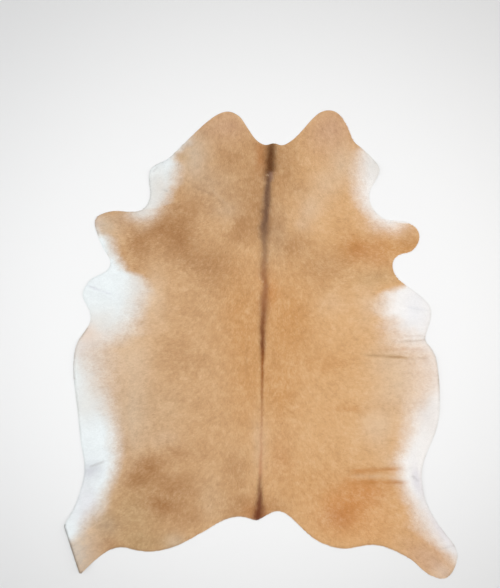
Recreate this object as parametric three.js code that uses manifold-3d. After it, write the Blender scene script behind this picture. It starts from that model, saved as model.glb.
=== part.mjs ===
// Hair-on cowhide lying flat on a floor, hair side up.
// Millimetres, +Z up: the underside is at z = 0, the neck points to +Y and the tail to -Y,
// and the origin is at the middle of the hide's length and width.

import * as THREE from 'three';
import { mergeVertices } from 'three/addons/utils/BufferGeometryUtils.js';
import Module from 'manifold-3d';

// Driving sizes
const SKIN_THICKNESS = 2.2;
const PILE_DEPTH = 2.8;
const THICKNESS = SKIN_THICKNESS + PILE_DEPTH;
const HIDE_WIDTH = 1924;
const HIDE_LENGTH = 2294;

// The untrimmed skin is this much larger all round than the trimmed hide.
const TRIM_MARGIN = 30;
// The trimming cut starts this far below the floor and ends this far above it.
const CUT_REACH = 60;

// Fineness of the surface: steps between two rows of the edge tables, the grid's pitch where the hide
// lies flat, and the number of grid steps from a fold's crest to its foot.
const EDGE_STEPS = 4;
const FLAT_PITCH = 92;
const STEPS_PER_REACH = 2;

// Trimmed edge, from the nape down each side to the tail. The edge runs smoothly through its rows,
// apart from a corner, where the knife turned.
const NAPE = { place: 'nape', across: 62, along: 986 };
const TAIL = { place: 'tail', across: -21, along: -863, corner: true };

const LEFT_EDGE = [
  { place: 'nape dip', across: 25, along: 975 },
  { place: 'neck notch', across: -20, along: 998 },
  { place: 'neck lobe, inner side', across: -75, along: 1075 },
  { place: 'neck lobe, shoulder', across: -105, along: 1117 },
  { place: 'neck lobe, top', across: -163, along: 1141 },
  { place: 'neck lobe, outer side', across: -235, along: 1112 },
  { place: 'cheek', across: -408, along: 952 },
  { place: 'throat', across: -455, along: 908 },
  { place: 'brisket corner', across: -537, along: 860 },
  { place: 'brisket side', across: -547, along: 815 },
  { place: 'brisket foot', across: -541, along: 720 },
  { place: 'armpit', across: -575, along: 661 },
  { place: 'foreleg root', across: -635, along: 649 },
  { place: 'foreleg, front edge', across: -725, along: 653 },
  { place: 'foreleg knuckle', across: -798, along: 627 },
  { place: 'foreleg tip', across: -813, along: 595 },
  { place: 'foreleg, rear edge', across: -767, along: 465 },
  { place: 'elbow', across: -744, along: 430 },
  { place: 'elbow notch', across: -733, along: 395 },
  { place: 'elbow foot', across: -756, along: 356 },
  { place: 'chest flap, shoulder', across: -826, along: 321 },
  { place: 'chest flap, top', across: -867, along: 266 },
  { place: 'chest flap, side', across: -868, along: 225 },
  { place: 'chest flap, foot', across: -838, along: 165 },
  { place: 'waist notch', across: -834, along: 110 },
  { place: 'waist foot', across: -855, along: 72 },
  { place: 'belly shoulder', across: -900, along: 0 },
  { place: 'belly', across: -916, along: -120 },
  { place: 'belly foot', across: -894, along: -340 },
  { place: 'flank', across: -877, along: -498 },
  { place: 'flank notch', across: -861, along: -610 },
  { place: 'thigh', across: -885, along: -726 },
  { place: 'thigh front', across: -935, along: -842 },
  { place: 'hind leg corner', across: -962, along: -883, corner: true },
  { place: 'hind leg tip', across: -883, along: -1122, corner: true },
  { place: 'shank', across: -800, along: -1047 },
  { place: 'hock', across: -735, along: -1004 },
  { place: 'hock notch', across: -684, along: -991 },
  { place: 'rear thigh', across: -600, along: -1009 },
  { place: 'rear thigh, low', across: -525, along: -1012 },
  { place: 'buttock', across: -421, along: -988 },
  { place: 'rump slope', across: -258, along: -902 },
  { place: 'rump', across: -175, along: -856 },
  { place: 'tail notch', across: -100, along: -842 },
];

const RIGHT_EDGE = [
  { place: 'nape dip', across: 105, along: 974 },
  { place: 'neck notch', across: 165, along: 1009 },
  { place: 'neck lobe, inner side', across: 255, along: 1107 },
  { place: 'neck lobe, shoulder', across: 291, along: 1136 },
  { place: 'neck lobe, top', across: 331, along: 1147 },
  { place: 'neck lobe, outer side', across: 372, along: 1136 },
  { place: 'cheek', across: 408, along: 1094 },
  { place: 'throat', across: 458, along: 989 },
  { place: 'throat step', across: 478, along: 974 },
  { place: 'brisket slope', across: 553, along: 903 },
  { place: 'brisket tip', across: 580, along: 855 },
  { place: 'brisket foot', across: 560, along: 802 },
  { place: 'brisket notch', across: 531, along: 745 },
  { place: 'armpit', across: 542, along: 673 },
  { place: 'foreleg root', across: 600, along: 614 },
  { place: 'foreleg, front edge', across: 700, along: 601 },
  { place: 'foreleg knuckle', across: 760, along: 568 },
  { place: 'foreleg tip', across: 775, along: 519 },
  { place: 'foreleg, rear edge', across: 740, along: 459 },
  { place: 'elbow', across: 668, along: 436 },
  { place: 'elbow notch', across: 643, along: 395 },
  { place: 'elbow foot', across: 662, along: 328 },
  { place: 'chest flap, shoulder', across: 760, along: 253 },
  { place: 'chest flap, top', across: 825, along: 187 },
  { place: 'chest flap, side', across: 833, along: 140 },
  { place: 'chest flap, foot', across: 808, along: 52 },
  { place: 'waist notch', across: 801, along: 24 },
  { place: 'waist foot', across: 835, along: -24 },
  { place: 'belly shoulder', across: 856, along: -75 },
  { place: 'belly', across: 873, along: -239 },
  { place: 'belly foot', across: 863, along: -400 },
  { place: 'flank', across: 804, along: -552 },
  { place: 'flank notch', across: 785, along: -640 },
  { place: 'thigh', across: 805, along: -765 },
  { place: 'thigh front', across: 873, along: -889 },
  { place: 'hind leg, front', across: 945, along: -982 },
  { place: 'hind leg, outer side', across: 962, along: -1035 },
  { place: 'hind leg, lower side', across: 935, along: -1117 },
  { place: 'hind leg end', across: 895, along: -1147 },
  { place: 'shank', across: 813, along: -1121 },
  { place: 'hock', across: 736, along: -1054 },
  { place: 'hock notch', across: 616, along: -993 },
  { place: 'rear thigh', across: 540, along: -980 },
  { place: 'rear thigh, low', across: 407, along: -999 },
  { place: 'buttock', across: 329, along: -983 },
  { place: 'rump slope', across: 252, along: -944 },
  { place: 'rump', across: 126, along: -829 },
  { place: 'tail notch', across: 75, along: -815 },
];

// Soft rolls on either side of the old packing creases, and lifted stretches of the edge. A crest runs
// from one point to another, [across, along]; rise is its height at each end, and reach is the distance
// from the crest to where the hide lies flat again.
const FOLDS = [
  { place: 'flank roll ahead of its crease', from: [525, -34], to: [768, -38], rise: [4, 6], reach: 32 },
  { place: 'flank roll behind its crease', from: [540, -88], to: [752, -96], rise: [4, 5], reach: 34 },
  { place: 'waist tuck', from: [655, 32], to: [795, 40], rise: [3, 5], reach: 26 },
  { place: 'loin roll ahead of its creases', from: [450, -586], to: [668, -602], rise: [2, 4], reach: 30 },
  { place: 'loin roll between its creases', from: [442, -632], to: [692, -648], rise: [5, 7], reach: 30 },
  { place: 'loin roll behind its creases', from: [450, -698], to: [705, -714], rise: [3, 4], reach: 34 },
  { place: 'rib crease roll', from: [425, -298], to: [500, -303], rise: [3, 2], reach: 28 },
  { place: 'chest roll ahead of its crease', from: [-846, 312], to: [-732, 272], rise: [5, 3], reach: 30 },
  { place: 'chest roll behind its crease', from: [-862, 252], to: [-745, 212], rise: [4, 3], reach: 34 },
  { place: 'left flank pucker', from: [-838, -602], to: [-764, -566], rise: [6, 4], reach: 36 },
  { place: 'right flank pucker', from: [762, -602], to: [790, -738], rise: [6, 5], reach: 42 },
  { place: 'left hind leg, cut edge', from: [-962, -883], to: [-883, -1122], rise: [11, 15], reach: 95 },
  { place: 'left brisket corner', from: [-548, 850], to: [-505, 886], rise: [6, 5], reach: 52 },
  { place: 'right brisket tip', from: [578, 872], to: [566, 806], rise: [7, 4], reach: 55 },
  { place: 'right belly edge', from: [852, -62], to: [872, -330], rise: [7, 5], reach: 60 },
  { place: 'left belly edge', from: [-903, 0], to: [-916, -150], rise: [6, 4], reach: 60 },
];

// Height of a soft roll across its width, from 1 at the crest to 0 at its foot.
function softRoll(ratio) {
  return ratio < 1 ? (1 - ratio ** 2) ** 2 : 0;
}

// How far the hide is lifted off the floor at a point.
function lift(across, along) {
  const point = new THREE.Vector3(across, along, 0);
  const foot = new THREE.Vector3();
  let height = 0;
  for (const { from, to, rise, reach } of FOLDS) {
    const crest = new THREE.Line3(new THREE.Vector3(...from, 0), new THREE.Vector3(...to, 0));
    const share = crest.closestPointToPointParameter(point, true);
    const ratio = crest.at(share, foot).distanceTo(point) / reach;
    const crestHeight = THREE.MathUtils.lerp(rise[0], rise[1], share);
    height = Math.max(height, crestHeight * softRoll(ratio));
  }
  return height;
}

// The axis, 0 across or 1 along, in which a fold's section is drawn.
function sectionAxis({ from, to }) {
  const runsAcross = Math.abs(to[0] - from[0]) > Math.abs(to[1] - from[1]);
  return runsAcross ? 1 : 0;
}

// Grid pitch at a place on an axis: the flat pitch, or finer where folds are cut across.
function pitchAt(axis, place) {
  let pitch = FLAT_PITCH;
  for (const fold of FOLDS) {
    const low = Math.min(fold.from[axis], fold.to[axis]) - fold.reach;
    const high = Math.max(fold.from[axis], fold.to[axis]) + fold.reach;
    if (sectionAxis(fold) === axis && place >= low && place <= high) {
      pitch = Math.min(pitch, fold.reach / STEPS_PER_REACH);
    }
  }
  return pitch;
}

// Grid lines of the untrimmed skin along one axis.
function gridLines(axis, size) {
  const end = size / 2 + TRIM_MARGIN;
  const lines = [-end];
  while (lines.at(-1) < end) {
    lines.push(lines.at(-1) + pitchAt(axis, lines.at(-1)));
  }
  return lines;
}

// The untrimmed skin: a thin sheet with its rolls and lifts, of one thickness all over.
function untrimmedSkin() {
  const columns = gridLines(0, HIDE_WIDTH);
  const rows = gridLines(1, HIDE_LENGTH);
  const columnSteps = columns.length - 1;
  const rowSteps = rows.length - 1;
  const sheet = new THREE.BoxGeometry(1, 1, 1, columnSteps, rowSteps, 1);
  const position = sheet.attributes.position;
  for (let i = 0; i < position.count; i += 1) {
    const across = columns[Math.round((position.getX(i) + 0.5) * columnSteps)];
    const along = rows[Math.round((position.getY(i) + 0.5) * rowSteps)];
    const layer = position.getZ(i) > 0 ? THICKNESS : 0;
    position.setXYZ(i, across, along, lift(across, along) + layer);
  }
  return sheet;
}

// Points of the edge along one stretch between two corners, without the stretch's last point.
function stretchPoints(rows) {
  const knots = rows.map(({ across, along }) => new THREE.Vector3(across, along, 0));
  const curve = new THREE.CatmullRomCurve3(knots, false, 'centripetal');
  const points = curve.getPoints((knots.length - 1) * EDGE_STEPS);
  return points.slice(0, -1).map(({ x, y }) => new THREE.Vector2(x, y));
}

// The whole trimmed edge, counter-clockwise from the tail.
function trimmedEdge() {
  const rows = [TAIL, ...RIGHT_EDGE.toReversed(), NAPE, ...LEFT_EDGE, TAIL];
  const points = [];
  let stretch = [];
  for (const row of rows) {
    stretch.push(row);
    if (row.corner && stretch.length > 1) {
      points.push(...stretchPoints(stretch));
      stretch = [row];
    }
  }
  return points;
}

// The trimming cut: the hide's outline, carried straight up and down through the skin.
function trimmingCut() {
  const outline = new THREE.Shape(trimmedEdge());
  const cut = new THREE.ExtrudeGeometry(outline, { depth: 2 * CUT_REACH, bevelEnabled: false });
  return cut.translate(0, 0, -CUT_REACH);
}

// A closed solid for cutting, from a geometry with its shared vertices merged.
function toSolid(wasm, geometry) {
  geometry.deleteAttribute('normal');
  geometry.deleteAttribute('uv');
  const merged = mergeVertices(geometry);
  const vertProperties = new Float32Array(merged.attributes.position.array);
  const triVerts = new Uint32Array(merged.index.array);
  return new wasm.Manifold(new wasm.Mesh({ numProp: 3, vertProperties, triVerts }));
}

// A geometry from a cut solid.
function toGeometry(solid) {
  const { vertProperties, triVerts } = solid.getMesh();
  const geometry = new THREE.BufferGeometry();
  geometry.setAttribute('position', new THREE.BufferAttribute(vertProperties, 3));
  geometry.setIndex(new THREE.BufferAttribute(triVerts, 1));
  geometry.computeVertexNormals();
  return geometry;
}

const wasm = await Module();
wasm.setup();

const hairCoat = new THREE.MeshStandardMaterial({ color: 0xcda172, roughness: 0.75, metalness: 0 });
const trimmed = toSolid(wasm, untrimmedSkin()).intersect(toSolid(wasm, trimmingCut()));
const hide = new THREE.Mesh(toGeometry(trimmed), hairCoat);
hide.name = 'hide';

const cowhide = new THREE.Group();
cowhide.add(hide);

export default cowhide;
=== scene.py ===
"""Hair-on cowhide laid flat on a pale floor and seen from above.

The skin is one trimmed sheet with soft rolls beside its old packing creases. The coat is made of
many small flat-lying locks of hair, each coloured by where its root stands on the hide.
"""

import logging
import math
from dataclasses import dataclass, field
from enum import Enum

import bpy
import numpy as np
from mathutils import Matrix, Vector
from mathutils.geometry import delaunay_2d_cdt
from mathutils.kdtree import KDTree


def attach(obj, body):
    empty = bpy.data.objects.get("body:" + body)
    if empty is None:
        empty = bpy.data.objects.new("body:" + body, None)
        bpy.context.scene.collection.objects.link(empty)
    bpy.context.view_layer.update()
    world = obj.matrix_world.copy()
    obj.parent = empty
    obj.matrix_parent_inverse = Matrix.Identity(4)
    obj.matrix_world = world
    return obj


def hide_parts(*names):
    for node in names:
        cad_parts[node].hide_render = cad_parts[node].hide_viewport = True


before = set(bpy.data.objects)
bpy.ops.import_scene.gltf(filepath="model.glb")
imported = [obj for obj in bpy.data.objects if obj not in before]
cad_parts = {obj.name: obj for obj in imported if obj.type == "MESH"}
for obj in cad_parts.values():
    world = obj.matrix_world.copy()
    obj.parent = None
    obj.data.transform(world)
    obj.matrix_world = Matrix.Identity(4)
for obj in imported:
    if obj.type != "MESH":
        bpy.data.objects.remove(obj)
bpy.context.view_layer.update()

log = logging.getLogger("cowhide")

BODY = "root"
NODE = "hide"

# Names of the mesh data for the hair's colours and for its map as seen from above.
COAT_COLOUR = "coat_colour"
BAKE_MAP = "OFBake"

# Seeds of the random draws for the hair bed's colours, the roots and the first zone of the coat.
BED_SEED = 7
ROOT_SEED = 5
ZONE_SEED = 100


class Tone(Enum):
    """Hair and skin colours, some of them partly painted shade, as red, green and blue in sRGB
    hexadecimal.
    """

    COOL_WHITE = "E8EDEE"
    WARM_WHITE = "EFECE9"
    BRIGHT_WHITE = "E8E8EB"
    CREAM_WHITE = "DFDBD5"
    LILAC_WHITE = "DDD9DE"
    SHANK = "D2C6B8"
    BELLY_GREY = "DACFC8"
    BELLY_PINK = "E3D0C0"
    # Grey of parted hair and of painted shade at creases and puckers.
    SKIN_GREY = "C9CAD0"
    PALE = "DCC3A6"
    DUSTY = "CDB79E"
    ROAN = "CFB595"
    FAWN = "BC9873"
    TAUPE = "B9A083"
    TAN = "CBA378"
    WARM_TAN = "D7AC7B"
    AMBER = "DAA268"
    GOLDEN = "C9945A"
    BROWN = "A97A4D"
    ROSE = "CAA48C"
    GREY_BROWN = "B8976D"
    RUST = "CA8A4C"
    CHESTNUT = "BC7A42"
    PALE_HAIR = "E9CDA8"
    NAPE = "5A3010"
    STRIPE_GREY = "6E4F3E"
    STRIPE_BROWN = "8A5334"
    STRIPE_SADDLE = "72391A"
    STRIPE_FAINT = "C08A62"
    STRIPE_AMBER = "8C4C16"
    TAIL = "6A341E"
    FLECK = "B49484"
    # Lines along creases: partly parted hair, partly painted shade.
    CREASE_WARM = "BC8044"
    CREASE_OLIVE = "A67C48"
    CREASE_DUSKY = "A2805F"
    # Lines along the cut edge and at puckers: partly the edge's own colour, partly painted shade.
    EDGE_GREY = "8F8A86"
    EDGE_BROWN = "7D6450"
    EDGE_DARK = "4A3D33"
    FLESH = "DDD8D2"

    @property
    def linear(self) -> np.ndarray:
        """The colour as linear red, green and blue, by the sRGB standard's curve."""
        srgb = np.array([int(self.value[i:i + 2], 16) for i in (0, 2, 4)]) / 255
        return np.where(srgb <= 0.04045, srgb / 12.92, ((srgb + 0.055) / 1.055) ** 2.4)


class CoatZone(Enum):
    """Stretches of the coat from neck to tail, one piece each, as lowest and highest place along."""

    NECK = (0.690, 1.300)
    SHOULDER = (0.330, 0.690)
    RIBS = (0.020, 0.330)
    BARREL = (-0.270, 0.020)
    LOIN = (-0.560, -0.270)
    RUMP = (-0.860, -0.560)
    HIND_LEGS = (-1.300, -0.860)


def smoothstep(low: float, high: float, value: np.ndarray) -> np.ndarray:
    """Rises smoothly from 0 at low to 1 at high, which may be below low for a fall."""
    share = np.clip((value - low) / (high - low), 0, 1)
    return share * share * (3 - 2 * share)


def unit_vectors(angle: np.ndarray) -> np.ndarray:
    """Unit vectors at angles in radians from the across axis, as rows of across and along."""
    return np.column_stack([np.cos(angle), np.sin(angle)])


def read_between(grid: np.ndarray, low: np.ndarray, high: np.ndarray, part: np.ndarray) -> np.ndarray:
    """Reads a grid between its points.

    Args:
        grid: Values by column and row.
        low: Column and row of the grid point before each place.
        high: Column and row of the grid point after it.
        part: Share of the way from the one to the other, across and along.

    Returns:
        One value for each place.
    """
    (left, lower), (right, upper), (x, y) = low.T, high.T, part.T
    near = grid[left, lower] * (1 - x) + grid[right, lower] * x
    far = grid[left, upper] * (1 - x) + grid[right, upper] * x
    return near * (1 - y) + far * y


def vertex_places(mesh: bpy.types.Mesh) -> np.ndarray:
    """Reads where the vertices of a mesh are.

    Args:
        mesh: The mesh.

    Returns:
        Rows of x, y and z.
    """
    places = np.empty(len(mesh.vertices) * 3)
    mesh.vertices.foreach_get("co", places)
    return places.reshape(-1, 3)


def along_line(
    points: np.ndarray, start: tuple[float, float], end: tuple[float, float]
) -> tuple[np.ndarray, np.ndarray]:
    """Finds where points lie beside a straight line.

    Args:
        points: Rows of across and along.
        start: One end of the line.
        end: The other end.

    Returns:
        Each point's distance from the line, and its share of the way from start to end.
    """
    first = np.array(start)
    run = np.array(end) - first
    share = np.clip(((points - first) @ run) / (run @ run), 0, 1)
    return np.linalg.norm(points - first - share[:, None] * run, axis=1), share


def mixed(colours: np.ndarray, tone: Tone, share: np.ndarray) -> np.ndarray:
    """Mixes a tone into rows of linear colours, by a share from 0 to 1 for each row."""
    return colours + (tone.linear - colours) * share[:, None]


@dataclass(frozen=True)
class SoftNoise:
    """Smooth random values over the hide, around 0.

    Attributes:
        seed: Which random values are drawn.
        pitch: Distance between two drawn values.
        swing: How far the values go from 0.
        lattice: Number of drawn values each way before they repeat.
    """

    seed: int
    pitch: float
    swing: float = 1.0
    lattice: int = 257

    def at(self, points: np.ndarray) -> np.ndarray:
        """Reads the noise.

        Args:
            points: Rows of across and along.

        Returns:
            One value for each point.
        """
        drawn = np.random.default_rng(self.seed).uniform(-1, 1, (self.lattice, self.lattice))
        cell = np.floor(points / self.pitch).astype(int)
        part = smoothstep(0.0, 1.0, points / self.pitch - cell)
        return self.swing * read_between(drawn, cell % self.lattice, (cell + 1) % self.lattice, part)


def layered(noises: tuple[SoftNoise, ...], points: np.ndarray) -> np.ndarray:
    """Adds up several noises at points given as rows of across and along."""
    return np.sum([noise.at(points) for noise in noises], axis=0)


UNEVENNESS = (SoftNoise(11, 0.130, 0.65), SoftNoise(12, 0.045, 0.35))
WANDER_ACROSS = (SoftNoise(21, 0.085, 0.65), SoftNoise(23, 0.024, 0.25))
WANDER_ALONG = (SoftNoise(22, 0.085, 0.65), SoftNoise(24, 0.024, 0.25))
BLOTCHES = (
    SoftNoise(31, 0.075, 0.35),
    SoftNoise(32, 0.034, 0.35),
    SoftNoise(33, 0.015, 0.45),
    SoftNoise(34, 0.007, 0.65),
)
STREAKS = SoftNoise(35, 0.005)
STRIPE_SWAY = SoftNoise(41, 0.022, 0.20)
STRIPE_THINNING = SoftNoise(42, 0.014)
HAIR_DRIFT = (SoftNoise(51, 0.110), SoftNoise(52, 0.035, 0.7))
# Breaks in the crease lines, which are partly parted hair and partly painted shade.
CREASE_PATCHINESS = SoftNoise(61, 0.030, 0.30)
# Breaks in the edge lines, which are partly painted shade.
EDGE_PATCHINESS = SoftNoise(62, 0.060, 0.5)


@dataclass(frozen=True)
class Fold:
    """A soft roll of the hide, or a lifted stretch of its edge.

    Attributes:
        place: Where it is.
        start: Across and along of one end of its crest.
        end: Across and along of the other end.
        rise: Height of the crest at its two ends.
        reach: Distance from the crest to where the hide lies flat again.
    """

    place: str
    start: tuple[float, float]
    end: tuple[float, float]
    rise: tuple[float, float]
    reach: float

    def height(self, points: np.ndarray) -> np.ndarray:
        """Height of the roll over the floor.

        Args:
            points: Rows of across and along.

        Returns:
            One height for each point, 0 beyond the roll's reach.
        """
        distance, share = along_line(points, self.start, self.end)
        section = np.clip(1 - (distance / self.reach) ** 2, 0, None) ** 2
        return (self.rise[0] + (self.rise[1] - self.rise[0]) * share) * section


FOLDS = (
    Fold("flank roll ahead of its crease", (0.525, -0.034), (0.768, -0.038), (0.004, 0.006), 0.032),
    Fold("flank roll behind its crease", (0.540, -0.088), (0.752, -0.096), (0.004, 0.005), 0.034),
    Fold("waist tuck", (0.655, 0.032), (0.795, 0.040), (0.003, 0.005), 0.026),
    Fold("loin roll ahead of its creases", (0.450, -0.586), (0.668, -0.602), (0.002, 0.004), 0.030),
    Fold("loin roll between its creases", (0.442, -0.632), (0.692, -0.648), (0.005, 0.007), 0.030),
    Fold("loin roll behind its creases", (0.450, -0.698), (0.705, -0.714), (0.003, 0.004), 0.034),
    Fold("rib crease roll", (0.425, -0.298), (0.500, -0.303), (0.003, 0.002), 0.028),
    Fold("chest roll ahead of its crease", (-0.846, 0.312), (-0.732, 0.272), (0.005, 0.003), 0.030),
    Fold("chest roll behind its crease", (-0.862, 0.252), (-0.745, 0.212), (0.004, 0.003), 0.034),
    Fold("left flank pucker", (-0.838, -0.602), (-0.764, -0.566), (0.006, 0.004), 0.036),
    Fold("right flank pucker", (0.762, -0.602), (0.790, -0.738), (0.006, 0.005), 0.042),
    Fold("left hind leg, cut edge", (-0.962, -0.883), (-0.883, -1.122), (0.011, 0.015), 0.095),
    Fold("left brisket corner", (-0.548, 0.850), (-0.505, 0.886), (0.006, 0.005), 0.052),
    Fold("right brisket tip", (0.578, 0.872), (0.566, 0.806), (0.007, 0.004), 0.055),
    Fold("right belly edge", (0.852, -0.062), (0.872, -0.330), (0.007, 0.005), 0.060),
    Fold("left belly edge", (-0.903, 0.000), (-0.916, -0.150), (0.006, 0.004), 0.060),
)


@dataclass
class HideForm:
    """The hide's trimmed outline and the way it lies on the floor.

    Attributes:
        solid: The solid that the outline is read from.
        weld_digits: Decimals of a metre to which corners of the solid count as one.
        upward: Least upward share of the normal of a face of the upper side.
        spacing: Distance between two points of the outline.
        rounding: How many times each point is drawn towards its neighbours.
        field_pitch: Pitch of the grid that holds distances from the edge.
        field_margin: How far that grid reaches past the outline.
        ripple: Height of the small unevenness of the lying hide.
        outline: Points of the trimmed edge, counter-clockwise.
        outward: Unit vectors that point out of the hide at those points.
        corner: Lowest across and along of the grid.
        depths: Distances from the edge on the grid, negative outside, by column and row.
    """

    solid: bpy.types.Object
    weld_digits: int = 5
    upward: float = 0.3
    spacing: float = 0.005
    rounding: int = 6
    field_pitch: float = 0.005
    field_margin: float = 0.045
    ripple: float = 0.0006
    outline: np.ndarray = field(init=False)
    outward: np.ndarray = field(init=False)
    corner: np.ndarray = field(init=False)
    depths: np.ndarray = field(init=False)

    def __post_init__(self) -> None:
        """Reads the outline and works out the distances from it."""
        self.outline = self.smooth_loop(self.upper_rim())
        run = np.roll(self.outline, -1, axis=0) - np.roll(self.outline, 1, axis=0)
        run /= np.linalg.norm(run, axis=1, keepdims=True)
        self.outward = np.column_stack([run[:, 1], -run[:, 0]])
        self.corner = self.outline.min(axis=0) - self.field_margin
        self.depths = self.depth_grid()

    def upper_rim(self) -> np.ndarray:
        """Walks round the upper edge of the solid.

        Returns:
            Rows of across and along, counter-clockwise.
        """
        mesh = self.solid.data
        mesh.calc_loop_triangles()
        corners = np.empty(len(mesh.loop_triangles) * 3, dtype=int)
        mesh.loop_triangles.foreach_get("vertices", corners)
        rounded = vertex_places(mesh).round(self.weld_digits)
        welded, same = np.unique(rounded, axis=0, return_inverse=True)
        triangles = same.reshape(-1)[corners].reshape(-1, 3)
        a, b, c = (welded[triangles[:, i]] for i in range(3))
        normals = np.cross(b - a, c - a)
        upper = triangles[normals[:, 2] > self.upward * np.linalg.norm(normals, axis=1)]
        edges = {(int(p), int(q)) for t in upper for p, q in zip(t, np.roll(t, -1))}
        following = {p: q for p, q in edges if (q, p) not in edges}
        rim = [min(following)]
        while following[rim[-1]] != rim[0]:
            rim.append(following[rim[-1]])
        return welded[rim][:, :2]

    def smooth_loop(self, rim: np.ndarray) -> np.ndarray:
        """Spaces a closed loop evenly and rounds off its facets.

        Args:
            rim: Points of the loop.

        Returns:
            The evenly spaced, rounded loop.
        """
        closed = np.vstack([rim, rim[:1]])
        travelled = np.concatenate([[0], np.cumsum(np.linalg.norm(np.diff(closed, axis=0), axis=1))])
        stops = np.linspace(0, travelled[-1], int(travelled[-1] / self.spacing), endpoint=False)
        loop = np.column_stack([np.interp(stops, travelled, closed[:, i]) for i in (0, 1)])
        for _ in range(self.rounding):
            loop = (np.roll(loop, 1, axis=0) + 2 * loop + np.roll(loop, -1, axis=0)) / 4
        return loop

    def depth_grid(self) -> np.ndarray:
        """Works out how deep inside the edge each point of a grid lies.

        Returns:
            Distances from the edge in metres, negative outside, by column and row.
        """
        span = self.outline.max(axis=0) + self.field_margin - self.corner
        columns, rows = (np.ceil(span / self.field_pitch) + 1).astype(int)
        across = self.corner[0] + np.arange(columns) * self.field_pitch
        along = self.corner[1] + np.arange(rows) * self.field_pitch
        tree = KDTree(len(self.outline))
        for i, (x, y) in enumerate(self.outline):
            tree.insert((x, y, 0), i)
        tree.balance()
        depths = np.array([[tree.find((x, y, 0))[2] for y in along] for x in across])
        before, after = self.outline, np.roll(self.outline, -1, axis=0)
        for j, y in enumerate(along):
            crossing = (before[:, 1] > y) != (after[:, 1] > y)
            low, high = before[crossing], after[crossing]
            met = low[:, 0] + (y - low[:, 1]) / (high[:, 1] - low[:, 1]) * (high[:, 0] - low[:, 0])
            inside = np.searchsorted(np.sort(met), across) % 2 == 1
            depths[~inside, j] *= -1
        return depths

    def depth(self, points: np.ndarray) -> np.ndarray:
        """How far points lie inside the edge.

        Args:
            points: Rows of across and along.

        Returns:
            Distances in metres, negative outside.
        """
        place = (points - self.corner) / self.field_pitch
        last = np.array(self.depths.shape) - 2
        cell = np.clip(np.floor(place).astype(int), 0, last)
        return read_between(self.depths, cell, cell + 1, np.clip(place - cell, 0, 1))

    def lift(self, points: np.ndarray) -> np.ndarray:
        """Height of the underside over the floor at points given as rows of across and along."""
        return np.max([fold.height(points) for fold in FOLDS], axis=0)

    def unevenness(self, points: np.ndarray) -> np.ndarray:
        """Small ups and downs of the upper side at points given as rows of across and along."""
        return self.ripple * (1 + layered(UNEVENNESS, points))


@dataclass(frozen=True)
class WhiteLimit:
    """How far the white of a flank reaches towards the spine.

    Attributes:
        along: Place from tail to neck.
        across: Where white hair gives way to coloured hair.
        blend: How far the two mix to each side of that, roughly.
    """

    along: float
    across: float
    blend: float


LEFT_WHITE = (
    WhiteLimit(1.000, -0.362, 0.06),
    WhiteLimit(0.950, -0.416, 0.04),
    WhiteLimit(0.920, -0.422, 0.04),
    WhiteLimit(0.890, -0.402, 0.05),
    WhiteLimit(0.790, -0.408, 0.055),
    WhiteLimit(0.745, -0.432, 0.06),
    WhiteLimit(0.690, -0.475, 0.07),
    WhiteLimit(0.668, -0.520, 0.06),
    WhiteLimit(0.655, -0.900, 0.05),
    WhiteLimit(0.600, -0.860, 0.05),
    WhiteLimit(0.520, -0.740, 0.05),
    WhiteLimit(0.440, -0.709, 0.04),
    WhiteLimit(0.365, -0.664, 0.05),
    WhiteLimit(0.325, -0.595, 0.07),
    WhiteLimit(0.265, -0.557, 0.09),
    WhiteLimit(0.130, -0.610, 0.10),
    WhiteLimit(0.050, -0.672, 0.18),
    WhiteLimit(0.010, -0.750, 0.19),
    WhiteLimit(-0.030, -0.808, 0.19),
    WhiteLimit(-0.070, -0.800, 0.19),
    WhiteLimit(-0.185, -0.790, 0.16),
    WhiteLimit(-0.340, -0.723, 0.09),
    WhiteLimit(-0.540, -0.702, 0.055),
    WhiteLimit(-0.655, -0.722, 0.05),
    WhiteLimit(-0.810, -0.797, 0.085),
    WhiteLimit(-0.900, -0.864, 0.065),
    WhiteLimit(-0.940, -0.905, 0.08),
    WhiteLimit(-0.990, -1.000, 0.06),
)

RIGHT_WHITE = (
    WhiteLimit(1.000, 0.540, 0.06),
    WhiteLimit(0.950, 0.485, 0.08),
    WhiteLimit(0.755, 0.466, 0.07),
    WhiteLimit(0.680, 0.490, 0.07),
    WhiteLimit(0.612, 0.545, 0.07),
    WhiteLimit(0.600, 0.620, 0.08),
    WhiteLimit(0.580, 0.900, 0.05),
    WhiteLimit(0.305, 0.730, 0.05),
    WhiteLimit(0.245, 0.606, 0.08),
    WhiteLimit(0.205, 0.582, 0.09),
    WhiteLimit(0.165, 0.578, 0.09),
    WhiteLimit(0.125, 0.632, 0.10),
    WhiteLimit(0.090, 0.635, 0.12),
    WhiteLimit(0.010, 0.700, 0.20),
    WhiteLimit(-0.060, 0.775, 0.20),
    WhiteLimit(-0.225, 0.785, 0.16),
    WhiteLimit(-0.340, 0.728, 0.10),
    WhiteLimit(-0.500, 0.699, 0.08),
    WhiteLimit(-0.575, 0.662, 0.07),
    WhiteLimit(-0.655, 0.672, 0.06),
    WhiteLimit(-0.810, 0.753, 0.08),
    WhiteLimit(-0.890, 0.780, 0.12),
    WhiteLimit(-0.965, 0.852, 0.07),
    WhiteLimit(-1.010, 0.912, 0.06),
    WhiteLimit(-1.100, 0.977, 0.06),
)


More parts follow.
